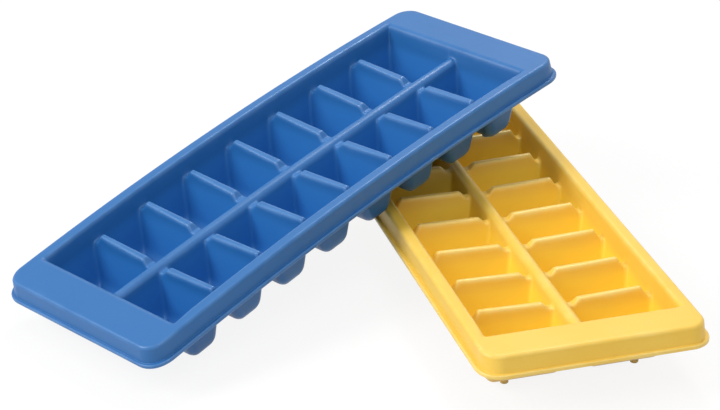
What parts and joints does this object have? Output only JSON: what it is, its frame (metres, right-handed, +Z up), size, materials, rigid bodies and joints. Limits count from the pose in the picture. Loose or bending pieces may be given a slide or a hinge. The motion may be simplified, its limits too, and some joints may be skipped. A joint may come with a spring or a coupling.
{
  "type": "ice cube tray pair",
  "caption": "Moulded plastic ice cube trays with rows of tapered cells, the blue tray leaning on the end of the yellow one; each twists by hand to free the cubes.",
  "frame": {"origin": "on the surface the trays stand on, under the middle of the pair's bounding box", "axes": "+Y runs along the flat yellow tray towards its far end, +X across it to its right, +Z up; the blue tray leans in from -X"},
  "size_m": [0.3219, 0.3222, 0.0916],
  "materials": {
    "yellow_plastic": "satin moulded polypropylene",
    "blue_plastic": "satin moulded polypropylene"
  },
  "bodies": {
    "yellow": {"yellow_tray": "yellow_plastic"},
    "blue": {"blue_tray": "blue_plastic"}
  },
  "joints": [
    {"name": "blue_lift", "type": "slide", "parent": "yellow", "child": "blue", "axis": [0, 0, 1], "range_m": [0, 0.08]}
  ]
}
